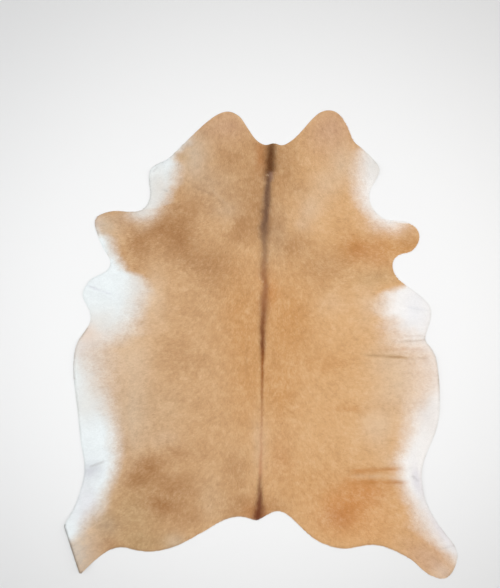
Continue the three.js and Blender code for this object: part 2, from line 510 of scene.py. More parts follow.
@dataclass(frozen=True)
class Patch:
    """A soft patch of another hair colour.

    Attributes:
        place: Where it is.
        tone: Its colour.
        centre: Across and along of its middle.
        reach: Half its width and half its length, where it has faded to a third.
        strength: Share of the hair that has its colour, at its middle.
        turn: Angle by which it is turned counter-clockwise, in degrees.
    """

    place: str
    tone: Tone
    centre: tuple[float, float]
    reach: tuple[float, float]
    strength: float
    turn: float = 0.0

    def share(self, points: np.ndarray) -> np.ndarray:
        """How much of the hair has the patch's colour.

        Args:
            points: Rows of across and along.

        Returns:
            A share from 0 to 1 for each point.
        """
        x, y = (points - np.array(self.centre)).T
        turn = math.radians(self.turn)
        along_patch = x * math.cos(turn) + y * math.sin(turn)
        across_patch = y * math.cos(turn) - x * math.sin(turn)
        ratio = (along_patch / self.reach[0]) ** 2 + (across_patch / self.reach[1]) ** 2
        return self.strength * np.exp(-ratio)


# Patches of the coloured coat, the left side first.
PATCHES = (
    Patch("left neck, beside the white", Tone.DUSTY, (-0.330, 0.940), (0.080, 0.125), 0.95),
    Patch("left neck", Tone.FAWN, (-0.165, 0.740), (0.120, 0.125), 0.55),
    Patch("left neck, below the lobe", Tone.BROWN, (-0.143, 0.915), (0.060, 0.070), 0.40),
    Patch("left neck, pale spot", Tone.PALE, (-0.318, 0.883), (0.045, 0.045), 0.45),
    Patch("left neck, outer", Tone.DUSTY, (-0.265, 0.800), (0.085, 0.075), 0.34),
    Patch("left neck, inner", Tone.BROWN, (-0.085, 0.720), (0.060, 0.050), 0.22),
    Patch("left neck, rear", Tone.DUSTY, (-0.165, 0.655), (0.075, 0.045), 0.35),
    Patch("left neck, by the stripe", Tone.BROWN, (-0.015, 0.800), (0.065, 0.200), 0.50),
    Patch("left nape", Tone.CHESTNUT, (0.008, 0.915), (0.034, 0.075), 0.55),
    Patch("left neck lobe", Tone.ROSE, (-0.170, 1.075), (0.120, 0.085), 0.45),
    Patch("left shoulder, inner", Tone.BROWN, (-0.290, 0.680), (0.080, 0.110), 0.30),
    Patch("left shoulder, upper", Tone.BROWN, (-0.390, 0.650), (0.070, 0.060), 0.45),
    Patch("left shoulder, front", Tone.BROWN, (-0.480, 0.570), (0.105, 0.060), 0.85, 10),
    Patch("left shoulder, middle", Tone.BROWN, (-0.400, 0.515), (0.080, 0.075), 0.80),
    Patch("left shoulder, outer", Tone.BROWN, (-0.590, 0.490), (0.070, 0.085), 0.70),
    Patch("left shoulder, rear", Tone.BROWN, (-0.320, 0.420), (0.160, 0.065), 0.50, -8),
    Patch("left withers", Tone.BROWN, (-0.215, 0.365), (0.095, 0.120), 0.42),
    Patch("left withers, by the stripe", Tone.BROWN, (-0.095, 0.570), (0.060, 0.070), 0.60),
    Patch("left foreleg tip", Tone.DUSTY, (-0.765, 0.578), (0.085, 0.060), 1.00),
    Patch("left foreleg, middle", Tone.BROWN, (-0.675, 0.592), (0.040, 0.028), 0.35),
    Patch("left foreleg, pale spot", Tone.PALE, (-0.578, 0.583), (0.042, 0.032), 0.42),
    Patch("left foreleg, edge", Tone.BELLY_GREY, (-0.815, 0.600), (0.035, 0.040), 0.60),
    Patch("left back", Tone.GOLDEN, (-0.090, 0.130), (0.120, 0.270), 0.60),
    Patch("left back, rear", Tone.GOLDEN, (-0.065, -0.170), (0.075, 0.260), 0.48),
    Patch("left chest, inner", Tone.PALE, (-0.515, 0.220), (0.060, 0.130), 0.65),
    Patch("left belly", Tone.PALE, (-0.630, -0.080), (0.110, 0.180), 0.74),
    Patch("left belly, rear", Tone.DUSTY, (-0.620, -0.365), (0.085, 0.200), 0.75),
    Patch("left ribs", Tone.ROAN, (-0.460, -0.330), (0.110, 0.150), 0.35),
    Patch("left ribs, rear", Tone.PALE, (-0.465, -0.465), (0.075, 0.045), 0.40),
    Patch("left ribs, front", Tone.BROWN, (-0.375, -0.060), (0.090, 0.080), 0.28),
    Patch("left rump, front", Tone.BROWN, (-0.550, -0.600), (0.090, 0.065), 0.90),
    Patch("left rump, outer", Tone.BROWN, (-0.600, -0.665), (0.075, 0.060), 0.80),
    Patch("left rump, inner", Tone.BROWN, (-0.420, -0.700), (0.120, 0.070), 0.72),
    Patch("left loin", Tone.BROWN, (-0.400, -0.535), (0.140, 0.050), 0.38),
    Patch("left rump, rear", Tone.BROWN, (-0.360, -0.850), (0.090, 0.055), 0.40),
    Patch("left rump, edge", Tone.DUSTY, (-0.425, -0.960), (0.055, 0.040), 0.75),
    Patch("left of the tail", Tone.BROWN, (-0.100, -0.790), (0.120, 0.060), 0.50),
    Patch("tail root", Tone.CHESTNUT, (-0.012, -0.835), (0.075, 0.060), 0.68),
    Patch("left croup", Tone.BROWN, (-0.130, -0.620), (0.060, 0.110), 0.40),
    Patch("left rump, pale", Tone.ROAN, (-0.245, -0.760), (0.060, 0.120), 0.30),
    Patch("left thigh", Tone.GREY_BROWN, (-0.620, -0.830), (0.130, 0.120), 0.75),
    Patch("left thigh, rear", Tone.GREY_BROWN, (-0.580, -0.965), (0.140, 0.060), 0.85),
    Patch("left rump, dark spot", Tone.BROWN, (-0.475, -0.780), (0.090, 0.050), 1.00),
    Patch("left shank", Tone.BROWN, (-0.750, -0.995), (0.065, 0.040), 0.45),
    Patch("left shank, front", Tone.TAUPE, (-0.750, -0.885), (0.065, 0.065), 0.75),
    Patch("left thigh, border", Tone.DUSTY, (-0.780, -0.790), (0.190, 0.045), 0.60, 62),
    Patch("left hind leg", Tone.SHANK, (-0.905, -1.000), (0.095, 0.140), 1.00, 15),
    # Painted shadow at the tip of the lifted left hind leg.
    Patch("left hind leg tip", Tone.EDGE_GREY, (-0.860, -1.075), (0.050, 0.045), 0.14),
    Patch("beside the stripe, pale", Tone.PALE, (-0.008, -0.490), (0.036, 0.140), 0.40),
    Patch("right neck lobe", Tone.ROSE, (0.345, 1.050), (0.120, 0.120), 0.58),
    Patch("right neck", Tone.PALE, (0.405, 0.880), (0.075, 0.090), 0.75),
    Patch("right neck, inner", Tone.PALE, (0.305, 0.790), (0.070, 0.080), 0.50),
    Patch("right neck, by the stripe", Tone.BROWN, (0.105, 0.885), (0.080, 0.160), 0.54),
    Patch("right neck, pale spot", Tone.PALE, (0.240, 0.670), (0.065, 0.075), 0.60),
    Patch("right withers, by the stripe", Tone.FAWN, (0.075, 0.560), (0.060, 0.140), 0.80),
    Patch("over the withers", Tone.BROWN, (0.020, 0.630), (0.065, 0.080), 0.55),
    Patch("right withers", Tone.BROWN, (0.170, 0.490), (0.075, 0.065), 0.56),
    Patch("right withers, pale spot", Tone.PALE, (0.212, 0.582), (0.040, 0.040), 0.40),
    Patch("right neck, dark spot", Tone.BROWN, (0.180, 0.760), (0.045, 0.040), 0.32),
    Patch("right shoulder", Tone.GOLDEN, (0.455, 0.480), (0.090, 0.070), 0.90),
    Patch("right shoulder, dark spot", Tone.CHESTNUT, (0.465, 0.455), (0.055, 0.050), 0.35),
    Patch("right shoulder, outer", Tone.CHESTNUT, (0.570, 0.445), (0.080, 0.085), 0.38),
    Patch("right shoulder, inner", Tone.BROWN, (0.300, 0.380), (0.150, 0.110), 0.42),
    Patch("right foreleg", Tone.GOLDEN, (0.680, 0.480), (0.110, 0.070), 0.90),
    Patch("right foreleg tip", Tone.BROWN, (0.728, 0.515), (0.050, 0.045), 0.22),
    Patch("right elbow", Tone.GREY_BROWN, (0.560, 0.330), (0.120, 0.050), 0.45),
    Patch("right back, front", Tone.RUST, (0.045, 0.260), (0.045, 0.080), 0.70),
    Patch("right back", Tone.GOLDEN, (0.140, 0.120), (0.120, 0.200), 0.80),
    Patch("right back, rear", Tone.GOLDEN, (0.098, -0.205), (0.102, 0.170), 0.72),
    Patch("right ribs, front", Tone.GOLDEN, (0.330, -0.090), (0.130, 0.070), 0.45),
    Patch("right ribs, streak", Tone.GOLDEN, (0.490, -0.306), (0.165, 0.022), 0.55),
    Patch("right chest, inner", Tone.PALE, (0.520, 0.190), (0.060, 0.090), 0.45),
    Patch("right ribs, pale spot", Tone.PALE, (0.350, 0.200), (0.070, 0.060), 0.24),
    Patch("right belly, front", Tone.PALE, (0.610, -0.070), (0.085, 0.090), 0.60),
    Patch("right belly", Tone.PALE, (0.665, -0.200), (0.100, 0.150), 0.75),
    Patch("right belly, rear", Tone.PALE, (0.570, -0.400), (0.080, 0.110), 0.60),
    Patch("right loin, outer", Tone.PALE, (0.620, -0.560), (0.045, 0.045), 0.40),
    Patch("right croup", Tone.CHESTNUT, (0.095, -0.560), (0.055, 0.110), 0.25),
    Patch("right of the tail", Tone.BROWN, (0.060, -0.790), (0.070, 0.055), 0.35),
    Patch("right loin", Tone.GOLDEN, (0.260, -0.680), (0.200, 0.160), 0.40),
    Patch("right thigh", Tone.AMBER, (0.470, -0.860), (0.220, 0.150), 0.60),
    Patch("right rump, outer", Tone.RUST, (0.520, -0.710), (0.110, 0.070), 0.78),
    Patch("right rump, middle", Tone.RUST, (0.420, -0.790), (0.100, 0.085), 0.80),
    Patch("right rump, dark spot", Tone.CHESTNUT, (0.370, -0.850), (0.080, 0.050), 0.65),
    Patch("right hind leg", Tone.ROSE, (0.815, -1.035), (0.125, 0.100), 0.60),
    Patch("right hind leg tip", Tone.BELLY_PINK, (0.890, -1.115), (0.065, 0.060), 0.60),
)

# White hair that reaches in between the brisket and a foreleg.
WHITE_WEDGES = (
    Patch("before the left foreleg", Tone.CREAM_WHITE, (-0.571, 0.654), (0.074, 0.043), 0.96, 15),
    Patch("before the right foreleg", Tone.WARM_WHITE, (0.630, 0.615), (0.090, 0.055), 1.00),
)

# Shades within the white hair, the left side first.
WHITE_PATCHES = (
    Patch("left chest, inner", Tone.CREAM_WHITE, (-0.610, 0.240), (0.050, 0.090), 0.70),
    Patch("left chest, rear", Tone.CREAM_WHITE, (-0.770, 0.110), (0.110, 0.070), 0.70),
    Patch("left brisket", Tone.CREAM_WHITE, (-0.480, 0.755), (0.080, 0.100), 0.95),
    Patch("left belly", Tone.BELLY_GREY, (-0.860, 0.000), (0.080, 0.085), 0.65),
    Patch("left belly, front", Tone.BELLY_PINK, (-0.835, 0.052), (0.080, 0.045), 0.75),
    Patch("left belly, rear", Tone.CREAM_WHITE, (-0.840, -0.265), (0.080, 0.095), 0.65),
    # Painted shadow beside the left flank's pucker.
    Patch("left flank, skin", Tone.SKIN_GREY, (-0.818, -0.608), (0.050, 0.040), 0.72, 25),
    Patch("left thigh, white", Tone.LILAC_WHITE, (-0.850, -0.780), (0.060, 0.130), 0.45),
    Patch("right brisket", Tone.CREAM_WHITE, (0.540, 0.880), (0.050, 0.060), 0.50),
    Patch("right chest", Tone.BRIGHT_WHITE, (0.755, 0.165), (0.085, 0.110), 0.65),
    Patch("right belly", Tone.BELLY_PINK, (0.820, -0.100), (0.070, 0.140), 0.35),
    # Painted shade along the right flank's pucker.
    Patch("right flank, skin", Tone.LILAC_WHITE, (0.770, -0.665), (0.024, 0.080), 0.70, 12),
    Patch("right thigh, white", Tone.LILAC_WHITE, (0.880, -0.900), (0.040, 0.110), 0.60, 35),
    Patch("right belly, rear", Tone.BELLY_GREY, (0.805, -0.330), (0.060, 0.100), 0.35),
)


@dataclass(frozen=True)
class StripeStop:
    """A place on the dark stripe down the back.

    Attributes:
        along: Place from tail to neck.
        across: Middle of the stripe.
        half_width: Half its width.
        strength: How much of the hair has the stripe's colour.
        tone: That colour.
    """

    along: float
    across: float
    half_width: float
    strength: float
    tone: Tone


# From the tail to the nape.
STRIPE = (
    StripeStop(-0.870, -0.012, 0.030, 1.00, Tone.TAIL),
    StripeStop(-0.795, -0.007, 0.024, 0.95, Tone.TAIL),
    StripeStop(-0.755, -0.005, 0.016, 0.90, Tone.TAIL),
    StripeStop(-0.665, -0.003, 0.010, 0.56, Tone.TAIL),
    StripeStop(-0.620, -0.001, 0.009, 0.90, Tone.STRIPE_FAINT),
    StripeStop(-0.445, 0.002, 0.006, 0.50, Tone.STRIPE_FAINT),
    StripeStop(-0.270, 0.006, 0.006, 0.55, Tone.STRIPE_AMBER),
    StripeStop(-0.090, 0.007, 0.008, 0.97, Tone.STRIPE_AMBER),
    StripeStop(-0.005, 0.007, 0.013, 0.97, Tone.STRIPE_SADDLE),
    StripeStop(0.085, 0.009, 0.015, 0.90, Tone.STRIPE_SADDLE),
    StripeStop(0.215, 0.017, 0.021, 0.80, Tone.STRIPE_BROWN),
    StripeStop(0.305, 0.023, 0.015, 0.70, Tone.STRIPE_BROWN),
    StripeStop(0.350, 0.014, 0.021, 0.65, Tone.STRIPE_BROWN),
    StripeStop(0.480, 0.020, 0.017, 0.58, Tone.STRIPE_GREY),
    StripeStop(0.570, 0.017, 0.025, 0.86, Tone.STRIPE_GREY),
    StripeStop(0.615, 0.021, 0.022, 0.94, Tone.STRIPE_GREY),
    StripeStop(0.790, 0.034, 0.017, 0.94, Tone.STRIPE_GREY),
    StripeStop(0.860, 0.045, 0.028, 0.97, Tone.NAPE),
    StripeStop(0.925, 0.046, 0.030, 0.98, Tone.NAPE),
    StripeStop(1.000, 0.055, 0.022, 0.84, Tone.NAPE),
)


@dataclass(frozen=True)
class Crease:
    """A soft line of another colour; along a crease or pucker it is partly parted hair and partly
    painted shade.

    Attributes:
        place: Where it is.
        tone: Its colour.
        start: Across and along of one end.
        end: Across and along of the other end.
        half_width: Half its width.
        strength: Share of its colour at its middle.
        end_fade: Share of its length over which each end fades.
        mean_showing: Mean share of the line that shows.
    """

    place: str
    tone: Tone
    start: tuple[float, float]
    end: tuple[float, float]
    half_width: float
    strength: float
    end_fade: float = 0.25
    mean_showing: float = 0.75

    def share(self, points: np.ndarray) -> np.ndarray:
        """How much of the crease's colour shows.

        Args:
            points: Rows of across and along.

        Returns:
            A share from 0 to 1 for each point, fading to the crease's ends.
        """
        distance, part = along_line(points, self.start, self.end)
        fade = smoothstep(0.0, self.end_fade, part) * smoothstep(1.0, 1 - self.end_fade, part)
        coverage = self.mean_showing + CREASE_PATCHINESS.at(points)
        line = np.exp(-((distance / self.half_width) ** 2))
        return np.clip(self.strength * fade * coverage, 0, 1) * line


# Along creases and puckers these lines are partly parted hair and partly painted shade.
CREASES = (
    Crease("right flank", Tone.CREASE_OLIVE, (0.470, -0.048), (0.760, -0.069), 0.0080, 0.60),
    Crease("right flank, core", Tone.CREASE_DUSKY, (0.505, -0.050), (0.690, -0.066), 0.0045, 0.50),
    Crease("right flank, outer", Tone.CREASE_DUSKY, (0.690, -0.068), (0.820, -0.066), 0.0050, 0.30),
    Crease("right flank, upper", Tone.CREASE_WARM, (0.560, -0.026), (0.830, -0.020), 0.0090, 0.20),
    Crease("right waist", Tone.CREASE_DUSKY, (0.640, 0.008), (0.830, 0.028), 0.0050, 0.40),
    Crease("right waist, upper", Tone.CREASE_DUSKY, (0.690, 0.042), (0.820, 0.044), 0.0045, 0.20),
    Crease("right chest", Tone.SKIN_GREY, (0.700, 0.186), (0.820, 0.166), 0.0050, 0.30),
    Crease("right ribs", Tone.CREASE_WARM, (0.340, -0.312), (0.500, -0.318), 0.0110, 0.25),
    Crease("right loin, front", Tone.CREASE_WARM, (0.405, -0.621), (0.710, -0.605), 0.0120, 0.80),
    Crease("right loin, ridge", Tone.PALE, (0.400, -0.646), (0.700, -0.640), 0.0100, 0.35),
    Crease("right loin, rear", Tone.CREASE_WARM, (0.400, -0.672), (0.740, -0.674), 0.0110, 0.85),
    Crease("left neck, front", Tone.GREY_BROWN, (-0.425, 0.942), (-0.325, 0.898), 0.0110, 0.45),
    Crease("left neck, middle", Tone.CREASE_DUSKY, (-0.295, 0.830), (-0.180, 0.781), 0.0060, 0.32),
    Crease("left neck, ridge", Tone.PALE, (-0.265, 0.790), (-0.150, 0.675), 0.0065, 0.40),
    Crease("left neck, rear", Tone.CREASE_DUSKY, (-0.350, 0.791), (-0.215, 0.730), 0.0055, 0.45),
    Crease("left neck, rear end", Tone.CREASE_DUSKY, (-0.245, 0.748), (-0.170, 0.682), 0.0055, 0.40),
    Crease("left brisket, rear", Tone.EDGE_GREY, (-0.482, 0.763), (-0.445, 0.749), 0.0045, 0.35),
    Crease("left brisket", Tone.EDGE_GREY, (-0.527, 0.846), (-0.496, 0.876), 0.0045, 0.40),
    Crease("left chest", Tone.SKIN_GREY, (-0.862, 0.294), (-0.710, 0.240), 0.0055, 0.60),
    Crease("left flank", Tone.EDGE_GREY, (-0.840, -0.600), (-0.748, -0.565), 0.0060, 0.42),
    Crease("right flank pucker", Tone.EDGE_GREY, (0.728, -0.634), (0.770, -0.672), 0.0060, 0.40),
    Crease("right thigh", Tone.EDGE_GREY, (0.860, -1.000), (0.965, -0.975), 0.0050, 0.30),
    Crease("left back streak", Tone.BROWN, (-0.070, 0.030), (-0.072, -0.190), 0.0060, 0.30),
    Crease("nape fleck", Tone.FLECK, (0.048, 0.858), (0.052, 0.800), 0.0110, 0.40),
    Crease("nape glint", Tone.PALE_HAIR, (0.020, 0.836), (0.042, 0.834), 0.0040, 0.45),
    Crease("withers fleck", Tone.PALE_HAIR, (0.000, 0.316), (0.016, 0.312), 0.0050, 0.45),
)


@dataclass(frozen=True)
class EdgeShadeLine:
    """A stretch of the cut edge along which a thin darker line shows, partly the cut edge's own colour
    and partly painted shade of the edge lying on the floor.

    Attributes:
        place: Where it is.
        tone: The line's colour.
        side: -1 for the left half of the hide, 1 for the right.
        low: Lowest place along.
        high: Highest place along.
        strength: Share of the line's colour at the very edge.
        inner: Least distance from the spine.
        width: Distance from the edge over which the line fades.
        mean_showing: Mean share of the line that shows.
    """

    place: str
    tone: Tone
    side: int
    low: float
    high: float
    strength: float
    inner: float = 0.0
    width: float = 0.0045
    mean_showing: float = 0.8

    def share(self, points: np.ndarray, depth: np.ndarray) -> np.ndarray:
        """How much of the line's colour shows.

        Args:
            points: Rows of across and along.
            depth: Each point's distance from the edge.

        Returns:
            A share from 0 to 1 for each point.
        """
        outward = points[:, 0] * self.side > self.inner
        there = outward & (points[:, 1] > self.low) & (points[:, 1] < self.high)
        coverage = np.clip(self.mean_showing + EDGE_PATCHINESS.at(points), 0, 1)
        line = np.exp(-((np.clip(depth, 0, None) / self.width) ** 2))
        return self.strength * there * coverage * line


# Thin darker lines along the cut edge: partly its own colour, partly painted shade of the edge on the
# floor.
EDGE_SHADE_LINES = (
    EdgeShadeLine("left brisket", Tone.EDGE_GREY, -1, 0.660, 0.990, 0.40),
    EdgeShadeLine("left foreleg", Tone.EDGE_BROWN, -1, 0.530, 0.660, 0.35),
    EdgeShadeLine("left chest", Tone.EDGE_GREY, -1, 0.080, 0.400, 0.10),
    EdgeShadeLine("left belly", Tone.EDGE_BROWN, -1, -0.170, 0.080, 0.50),
    EdgeShadeLine("left belly, rear", Tone.EDGE_GREY, -1, -0.420, -0.170, 0.30),
    EdgeShadeLine("left flank", Tone.EDGE_GREY, -1, -0.880, -0.420, 0.25),
    EdgeShadeLine("left thigh", Tone.EDGE_BROWN, -1, -1.045, -0.972, 0.45),
    EdgeShadeLine("left hind leg, cut edge", Tone.EDGE_DARK, -1, -1.140, -0.880, 0.75, 0.870),
    EdgeShadeLine("right brisket", Tone.EDGE_GREY, 1, 0.780, 0.990, 0.25),
    EdgeShadeLine("right chest", Tone.EDGE_GREY, 1, 0.040, 0.280, 0.15),
    EdgeShadeLine("right belly", Tone.EDGE_BROWN, 1, -0.280, 0.040, 0.40),
    EdgeShadeLine("right flank", Tone.EDGE_GREY, 1, -0.900, -0.280, 0.18),
    EdgeShadeLine("right hind leg", Tone.EDGE_BROWN, 1, -1.140, -0.900, 0.28),
)


@dataclass(frozen=True)
class CoatPattern:
    """Colours of the coat over the whole hide.

    Attributes:
        form: The hide's outline.
        left_end: Across of where the left side's shades start to give way to the right side's.
        right_end: Across of where they have done so.
        wander: How far the borders of patches wander.
        mottle: Strength of the uneven shades within one colour.
        streak: Strength of the fine streaks along the hair.
        streak_reach: Half the length over which streaks are drawn out along the hair.
        streak_steps: Number of places read along that length.
        variety: How much single locks differ.
        most_lean: Greatest share by which hair leans to a paler or darker shade.
        deepening: How much red, green and blue hair loses as it leans to a darker shade.
        white_lean: How much white hair leans, as a share of what coloured hair does.
        roan: How much white and coloured hairs mix at a border.
        blend_end: Share of a border's blend at which the mixing ends, to each side.
        ragged: How far single locks stand out of the stripe, as a share of its half width.
        thinning: Greatest share of the stripe's colour that is lost where it is thin.
    """

    form: HideForm
    left_end: float = -0.45
    right_end: float = 0.35
    wander: float = 0.020
    mottle: float = 0.28
    streak: float = 0.14
    streak_reach: float = 0.007
    streak_steps: int = 5
    variety: float = 0.14
    most_lean: float = 0.8
    deepening: tuple[float, float, float] = (0.36, 0.45, 0.52)
    white_lean: float = 0.12
    roan: float = 0.3
    blend_end: float = 0.9
    ragged: float = 0.10
    thinning: float = 0.07

    def wandering(self, points: np.ndarray) -> np.ndarray:
        """Shifts points, given as rows of across and along, so that borders between colours wander."""
        shifts = [layered(noises, points) for noises in (WANDER_ACROSS, WANDER_ALONG)]
        return points + self.wander * np.column_stack(shifts)

    def white_share(self, points: np.ndarray) -> np.ndarray:
        """How much of the hair is white.

        Args:
            points: Rows of across and along.

        Returns:
            A share from 0 to 1 for each point.
        """
        shares = [wedge.share(points) for wedge in WHITE_WEDGES]
        for limits, side in ((LEFT_WHITE, -1), (RIGHT_WHITE, 1)):
            rows = sorted((w.along, w.across, w.blend) for w in limits)
            along, across, blend = np.array(rows).T
            limit = np.interp(points[:, 1], along, across)
            width = np.interp(points[:, 1], along, blend)
            past = side * (points[:, 0] - limit) / width
            shares.append(smoothstep(-self.blend_end, self.blend_end, past))
        return np.max(shares, axis=0)

    def two_sided(self, left: Tone, right: Tone, points: np.ndarray) -> np.ndarray:
        """Linear colours at points, passing from a tone on the left side to another on the right."""
        share = smoothstep(self.left_end, self.right_end, points[:, 0])
        return mixed(np.tile(left.linear, (len(points), 1)), right, share)

    def coloured_hair(self, points: np.ndarray, lean: np.ndarray) -> np.ndarray:
        """Colours of the coat where it isn't white.

        Args:
            points: Rows of across and along.
            lean: How far the hair leans to paler or darker shades.

        Returns:
            Linear red, green and blue for each point.
        """
        coat = self.two_sided(Tone.TAN, Tone.WARM_TAN, points)
        for patch in PATCHES:
            coat = mixed(coat, patch.tone, patch.share(points))
        # Dark hair pales less than fair hair.
        fairness = np.clip(coat[:, 1] / Tone.TAN.linear[1], 0, 1)
        coat = mixed(coat, Tone.PALE_HAIR, fairness * np.clip(lean, 0, self.most_lean))
        darker = np.clip(-lean, 0, self.most_lean)
        return coat * (1 - np.outer(darker, self.deepening))

    def white_hair(self, points: np.ndarray, lean: np.ndarray) -> np.ndarray:
        """Colours of the white hair.

        Args:
            points: Rows of across and along.
            lean: How far the hair leans to paler or darker shades.

        Returns:
            Linear red, green and blue for each point.
        """
        white = self.two_sided(Tone.COOL_WHITE, Tone.WARM_WHITE, points)
        for patch in WHITE_PATCHES + WHITE_WEDGES:
            white = mixed(white, patch.tone, patch.share(points))
        return white * (1 + self.white_lean * lean)[:, None]

    def colour(self, points: np.ndarray, flow: np.ndarray, rng: np.random.Generator) -> np.ndarray:
        """Hair colours.

        Args:
            points: Rows of across and along.
            flow: Unit vectors along which the hair lies there.
            rng: Draws how single locks differ.

        Returns:
            Linear red, green and blue for each point.
        """
        drawn = self.wandering(points)
        lean = self.shades(points, flow) + self.variety * rng.standard_normal(len(points))
        share = self.white_share(drawn)
        share = share + self.roan * share * (1 - share) * rng.uniform(-1, 1, len(share))
        share = np.clip(share + share * (1 - share) * lean, 0, 1)[:, None]
        coat = self.coloured_hair(drawn, lean) * (1 - share) + self.white_hair(drawn, lean) * share
        coat = self.striped(coat, points, rng)
        for crease in CREASES:
            coat = mixed(coat, crease.tone, crease.share(points))
        return coat

    def shades(self, points: np.ndarray, flow: np.ndarray) -> np.ndarray:
        """How far the hair leans to paler or darker shades.

        Args:
            points: Rows of across and along.
            flow: Unit vectors along which the hair lies there.

        Returns:
            A value around 0 for each point, above it for paler hair.
        """
        steps = np.linspace(-self.streak_reach, self.streak_reach, self.streak_steps)
        streaks = np.mean([STREAKS.at(points + step * flow) for step in steps], axis=0)
        return self.mottle * layered(BLOTCHES, points) + self.streak * streaks

    def striped(self, coat: np.ndarray, points: np.ndarray, rng: np.random.Generator) -> np.ndarray:
        """Lays the dark stripe down the back.

        Args:
            coat: Colours without the stripe.
            points: Rows of across and along.
            rng: Draws how ragged its sides are.

        Returns:
            Colours with the stripe.
        """
        along = np.array([s.along for s in STRIPE])
        tones = np.array([s.tone.linear for s in STRIPE])
        sizes = np.array([(s.across, s.half_width, s.strength) for s in STRIPE]).T
        middle, half_width, strength = (np.interp(points[:, 1], along, size) for size in sizes)
        tone = np.column_stack([np.interp(points[:, 1], along, tones[:, i]) for i in range(3)])
        sway = STRIPE_SWAY.at(points) + self.ragged * rng.standard_normal(len(points))
        off = (points[:, 0] - middle) / half_width + sway
        thin = 1 - self.thinning * (1 + STRIPE_THINNING.at(points)) / 2
        share = (strength * thin * np.exp(-off * off))[:, None]
        return coat * (1 - share) + tone * share

    def with_edge_shade(self, coat: np.ndarray, points: np.ndarray) -> np.ndarray:
        """Paints the thin darker lines along the cut edge, partly painted shade.

        Args:
            coat: Colours without them.
            points: Rows of across and along.

        Returns:
            Colours with the lines.
        """
        depth = self.form.depth(points)
        for mark in EDGE_SHADE_LINES:
            coat = mixed(coat, mark.tone, mark.share(points, depth))
        return coat


@dataclass(frozen=True)
class SwingStop:
    """How far the hair of the flanks and legs swings outwards at a place along the hide.

    Attributes:
        along: Place from tail to neck.
        swing: Angle between that hair and the spine's, in degrees.
    """

    along: float
    swing: float


SWING = (
    SwingStop(-1.10, 45),
    SwingStop(-0.75, 62),
    SwingStop(-0.40, 76),
    SwingStop(0.00, 80),
    SwingStop(0.30, 84),
    SwingStop(0.52, 88),
    SwingStop(0.62, 82),
    SwingStop(0.80, 50),
    SwingStop(1.10, 35),
)


@dataclass(frozen=True)
class HairFlow:
    """The way the hair lies: back along the spine, and outwards on the flanks and legs.

    Attributes:
        backward: Direction of the hair on the spine, in degrees from the across axis.
        full_swing: Distance from the spine at which the hair has swung fully outwards.
        drift: How far its direction drifts from place to place, in degrees.
    """

    backward: float = -90.0
    full_swing: float = 0.52
    drift: float = 14.0

    def angle(self, points: np.ndarray) -> np.ndarray:
        """Direction of the hair from root to tip.

        Args:
            points: Rows of across and along.

        Returns:
            Angles from the across axis, counter-clockwise, in radians.
        """
        along, swing = np.array([(stop.along, stop.swing) for stop in SWING]).T
        spread = np.interp(points[:, 1], along, swing)
        outward = smoothstep(0.0, self.full_swing, np.abs(points[:, 0]))
        drift = self.drift * layered(HAIR_DRIFT, points)
        return np.radians(self.backward + np.sign(points[:, 0]) * spread * outward + drift)

    def vectors(self, points: np.ndarray) -> np.ndarray:
        """Unit vectors along the hair at points given as rows of across and along."""
        return unit_vectors(self.angle(points))


def new_material(name: str) -> tuple[bpy.types.Material, bpy.types.ShaderNodeTree, bpy.types.Node]:
    """Makes an empty material with a Principled shader.

    Args:
        name: The material's name.

    Returns:
        The material, its nodes and its shader.
    """
    material = bpy.data.materials.new(name)
    material.use_nodes = True
    tree = material.node_tree
    return material, tree, tree.nodes["Principled BSDF"]


def mapped(
    tree: bpy.types.ShaderNodeTree,
    value: bpy.types.NodeSocket,
    given: tuple[float, float],
    wanted: tuple[float, float],
    way: str = "LINEAR",
) -> bpy.types.NodeSocket:
    """Adds a node that brings a value from one range into another.

    Args:
        tree: The nodes to add it to.
        value: The value.
        given: Ends of the range that it comes in.
        wanted: Ends of the range that it is brought into.
        way: How it passes from end to end.

    Returns:
        The value in the wanted range.
    """
    node = tree.nodes.new("ShaderNodeMapRange")
    node.interpolation_type = way
    for end, start, goal in zip(("Min", "Max"), given, wanted):
        node.inputs[f"From {end}"].default_value = start
        node.inputs[f"To {end}"].default_value = goal
    tree.links.new(value, node.inputs["Value"])
    return node.outputs["Result"]


def grain_group() -> bpy.types.ShaderNodeTree:
    """Makes the shared effect of fine hair or skin grain over a colour.

    Returns:
        A node group that takes Colour, Grain Scale and Depth, and gives Colour, Roughness and Height.
    """
    group = bpy.data.node_groups.new("Fine grain", "ShaderNodeTree")
    for way, values in (("INPUT", ("Grain Scale", "Depth")), ("OUTPUT", ("Roughness", "Height"))):
        group.interface.new_socket("Colour", in_out=way, socket_type="NodeSocketColor")
        for value in values:
            group.interface.new_socket(value, in_out=way, socket_type="NodeSocketFloat")
    nodes, links = group.nodes, group.links
    given = nodes.new("NodeGroupInput")
    result = nodes.new("NodeGroupOutput")
    place = nodes.new("ShaderNodeTexCoord")
    noise = nodes.new("ShaderNodeTexNoise")
    noise.inputs["Detail"].default_value = 4.0
    noise.inputs["Roughness"].default_value = 0.6
    links.new(place.outputs["Object"], noise.inputs["Vector"])
    links.new(given.outputs["Grain Scale"], noise.inputs["Scale"])
    centred = nodes.new("ShaderNodeMath")
    centred.operation = "SUBTRACT"
    centred.inputs[1].default_value = 0.5
    links.new(noise.outputs["Fac"], centred.inputs[0])
    shade = nodes.new("ShaderNodeMath")
    shade.operation = "MULTIPLY_ADD"
    shade.inputs[2].default_value = 1.0
    links.new(centred.outputs[0], shade.inputs[0])
    links.new(given.outputs["Depth"], shade.inputs[1])
    tint = nodes.new("ShaderNodeVectorMath")
    tint.operation = "SCALE"
    links.new(given.outputs["Colour"], tint.inputs[0])
    links.new(shade.outputs[0], tint.inputs["Scale"])
    links.new(tint.outputs[0], result.inputs["Colour"])
    rough = mapped(group, noise.outputs["Fac"], given=(0.3, 0.7), wanted=(0.50, 0.72))
    links.new(rough, result.inputs["Roughness"])
    links.new(noise.outputs["Fac"], result.inputs["Height"])
    return group


